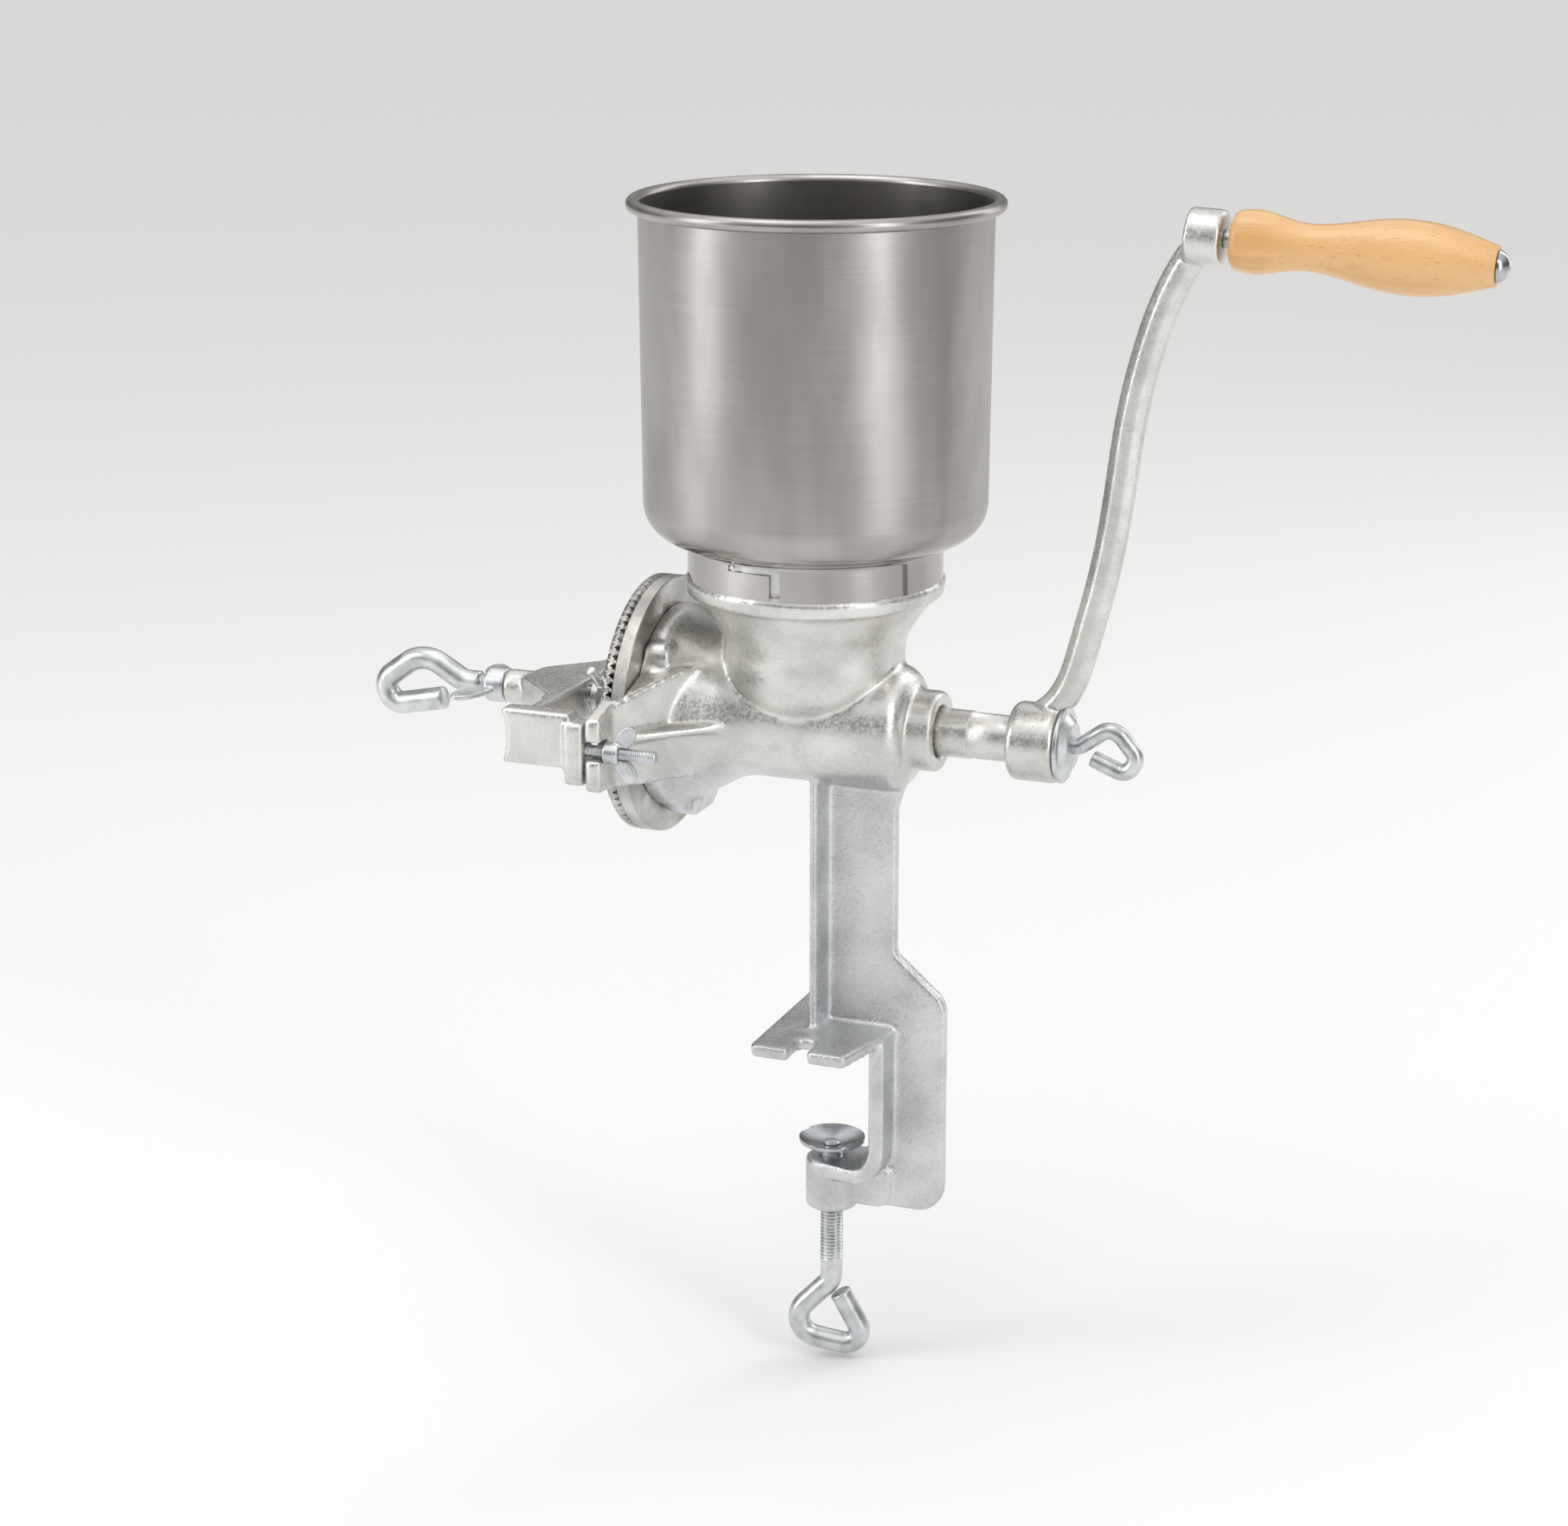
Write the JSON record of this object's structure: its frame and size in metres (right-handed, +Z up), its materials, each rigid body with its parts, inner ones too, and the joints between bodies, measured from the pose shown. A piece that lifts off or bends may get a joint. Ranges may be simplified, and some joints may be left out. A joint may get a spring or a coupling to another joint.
{
  "type": "grain mill",
  "caption": "Hand-cranked burr mill with a tall round steel hopper on a cast body, side crank with wooden grip, yoke with adjusting screw, and a table clamp under the leg.",
  "frame": {"origin": "on the clamp screw's axis, at the underside of the cast plate that rests on the table", "axes": "+Z up along the clamp screw and parallel to the hopper's axis; +X along the shaft towards the crank; +Y to the left of someone who faces along +X"},
  "size_m": [0.458, 0.145, 0.4826],
  "materials": {
    "tinned_iron": "tinned sand casting, bright and slightly rough",
    "burr_iron": "tinned hard iron with cut grooves",
    "stainless": "fine brushed stainless",
    "zinc_steel": "bright zinc plating",
    "polished_steel": "polished steel",
    "lacquered_wood": "clear gloss lacquer over pale turned wood"
  },
  "bodies": {
    "frame": {"mill_body": "tinned_iron", "stationary_burr": "burr_iron", "burr_screws": "zinc_steel", "yoke": "tinned_iron", "t_bolt_near": "zinc_steel", "t_bolt_far": "zinc_steel"},
    "hopper": {"hopper": "stainless"},
    "ball": {"thrust_ball": "polished_steel"},
    "rotor": {"auger_shaft": "tinned_iron", "rotating_burr": "burr_iron", "drive_pin": "zinc_steel", "crank_arm": "tinned_iron", "crank_washer": "zinc_steel", "handle_spindle": "polished_steel"},
    "grip": {"handle_grip": "lacquered_wood"},
    "crank_screw": {"crank_screw": "zinc_steel"},
    "adjuster": {"adjusting_screw": "zinc_steel"},
    "lock_nut": {"lock_wing_nut": "zinc_steel"},
    "near_nut": {"wing_nut_near": "zinc_steel"},
    "far_nut": {"wing_nut_far": "zinc_steel"},
    "clamp_pad": {"clamp_cup": "polished_steel"},
    "clamp_screw": {"clamp_screw": "zinc_steel"}
  },
  "joints": [
    {"name": "hopper_twist", "type": "hinge", "parent": "frame", "child": "hopper", "pos_m": [-0.008, 0, 0.1885], "axis": [0, 0, 1], "range_deg": [-21, 0]},
    {"name": "burr_gap", "type": "slide", "parent": "frame", "child": "ball", "axis": [-1, 0, 0], "range_m": [0, 0.0025]},
    {"name": "crank_turn", "type": "hinge", "parent": "ball", "child": "rotor", "pos_m": [0, 0, 0.13], "axis": [1, 0, 0], "continuous": true},
    {"name": "grip_turn", "type": "hinge", "parent": "rotor", "child": "grip", "pos_m": [0.1442, 0, 0.3275], "axis": [0.9988, 0, -0.0488], "continuous": true},
    {"name": "crank_screw_turn", "type": "hinge", "parent": "rotor", "child": "crank_screw", "pos_m": [0.1, 0, 0.13], "axis": [1, 0, 0], "continuous": true},
    {"name": "adjuster_turn", "type": "hinge", "parent": "ball", "child": "adjuster", "pos_m": [-0.12, 0, 0.13], "axis": [-1, 0, 0], "range_deg": [0, 720]},
    {"name": "lock_nut_turn", "type": "hinge", "parent": "frame", "child": "lock_nut", "pos_m": [-0.145, 0, 0.13], "axis": [-1, 0, 0], "continuous": true},
    {"name": "near_nut_turn", "type": "hinge", "parent": "frame", "child": "near_nut", "pos_m": [-0.065, -0.0665, 0.1274], "axis": [1, 0, 0], "continuous": true},
    {"name": "far_nut_turn", "type": "hinge", "parent": "frame", "child": "far_nut", "pos_m": [-0.065, 0.0665, 0.1274], "axis": [1, 0, 0], "continuous": true},
    {"name": "clamp_travel", "type": "slide", "parent": "frame", "child": "clamp_pad", "axis": [0, 0, 1], "range_m": [0, 0.028]},
    {"name": "clamp_turn", "type": "hinge", "parent": "clamp_pad", "child": "clamp_screw", "pos_m": [0, 0, -0.06], "axis": [0, 0, 1], "range_deg": [0, 6720]}
  ],
  "couplings": [
    {"joint": "adjuster_turn", "follows": "burr_gap", "rad_per_m": 5026.5},
    {"joint": "clamp_travel", "follows": "clamp_turn", "m_per_rad": 0.00023873}
  ]
}
